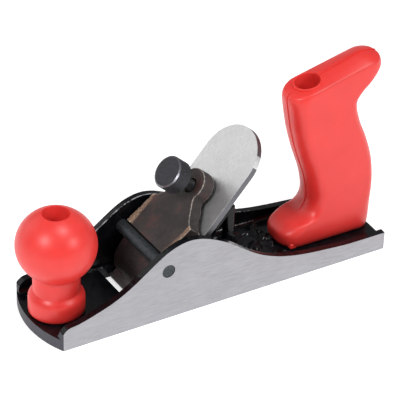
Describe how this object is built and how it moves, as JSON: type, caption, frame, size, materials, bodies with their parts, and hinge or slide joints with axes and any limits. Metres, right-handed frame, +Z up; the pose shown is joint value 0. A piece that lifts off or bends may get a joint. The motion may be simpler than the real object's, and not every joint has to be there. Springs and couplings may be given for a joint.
{
  "type": "hand plane",
  "caption": "Small metal bench plane: black-painted channel casting with ground cheeks, bedded blade, pivoting lever cap, thumbscrew, red knob and grip.",
  "frame": {"origin": "on the flat sole, on the middle plane, half way along the straight cheeks", "axes": "+X from the toe (knob end) to the heel, +Y to the far cheek, +Z up out of the sole"},
  "size_m": [0.1851, 0.046, 0.0975],
  "materials": {
    "body_casting": "glossy black paint inside and on the ends; sole and outer cheeks ground bright",
    "blade_steel": "linished along its length",
    "cap_casting": "as-cast dark brown with rubbed tan edges",
    "blackened_steel": "black oxide, satin",
    "screw_steel": "zinc plated, satin",
    "red_plastic": "moulded, semi-gloss"
  },
  "bodies": {
    "body": {"plane_body": "body_casting", "cross_pin": "blackened_steel", "front_knob": "red_plastic", "knob_screw": "screw_steel", "knob_washer": "screw_steel", "rear_handle": "red_plastic", "handle_screw": "screw_steel", "handle_washer": "screw_steel"},
    "blade": {"cutting_iron": "blade_steel"},
    "cap": {"lever_cap": "cap_casting"},
    "screw": {"thumbscrew": "blackened_steel"}
  },
  "joints": [
    {"name": "blade_slide", "type": "slide", "parent": "body", "child": "blade", "axis": [0.6561, 0, 0.7547], "range_m": [-0.002, 0.045]},
    {"name": "thumbscrew_turn", "type": "hinge", "parent": "body", "child": "screw", "pos_m": [-0.00266, 0, 0.04491], "axis": [-0.7547, 0, 0.6561], "range_deg": [0, 540]},
    {"name": "lever_cap_tilt", "type": "hinge", "parent": "body", "child": "cap", "pos_m": [-0.0334, 0, 0.0254], "axis": [0, 1, 0], "range_deg": [0, 2.5]}
  ],
  "couplings": [
    {"joint": "lever_cap_tilt", "follows": "thumbscrew_turn", "ratio": 0.00456}
  ]
}
